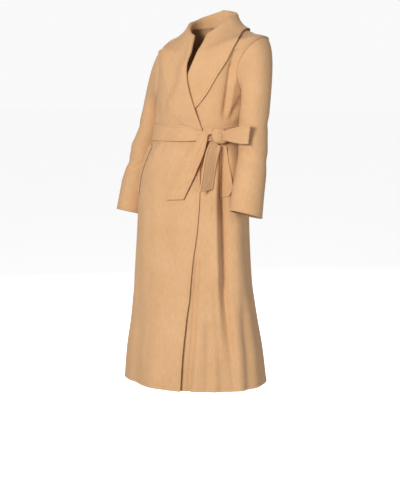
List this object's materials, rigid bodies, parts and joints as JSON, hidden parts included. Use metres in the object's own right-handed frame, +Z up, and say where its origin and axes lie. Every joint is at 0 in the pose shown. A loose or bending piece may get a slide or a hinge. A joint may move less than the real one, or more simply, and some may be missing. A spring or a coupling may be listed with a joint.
{
  "type": "wool wrap coat",
  "caption": "Long camel wool wrap coat, worn, with a wide shawl collar, slanted welt pockets and a tied belt with a bow loop and two tails.",
  "frame": {"origin": "middle of the shoulders at the base of the neck, where the wearer holds the coat", "axes": "+Z up, -Y the coat's front, +X the wearer's left"},
  "size_m": [0.609, 0.4089, 1.2612],
  "materials": {
    "camel_wool": "matte brushed double-faced wool"
  },
  "bodies": {
    "root": {"back": "camel_wool", "right_front": "camel_wool", "left_front": "camel_wool", "left_sleeve": "camel_wool", "right_sleeve": "camel_wool", "collar_left": "camel_wool", "collar_right": "camel_wool", "left_pocket": "camel_wool", "right_pocket": "camel_wool", "belt_band": "camel_wool", "belt_knot": "camel_wool", "belt_bow_loop": "camel_wool", "belt_tail_long": "camel_wool", "belt_tail_short": "camel_wool"}
  },
  "joints": []
}
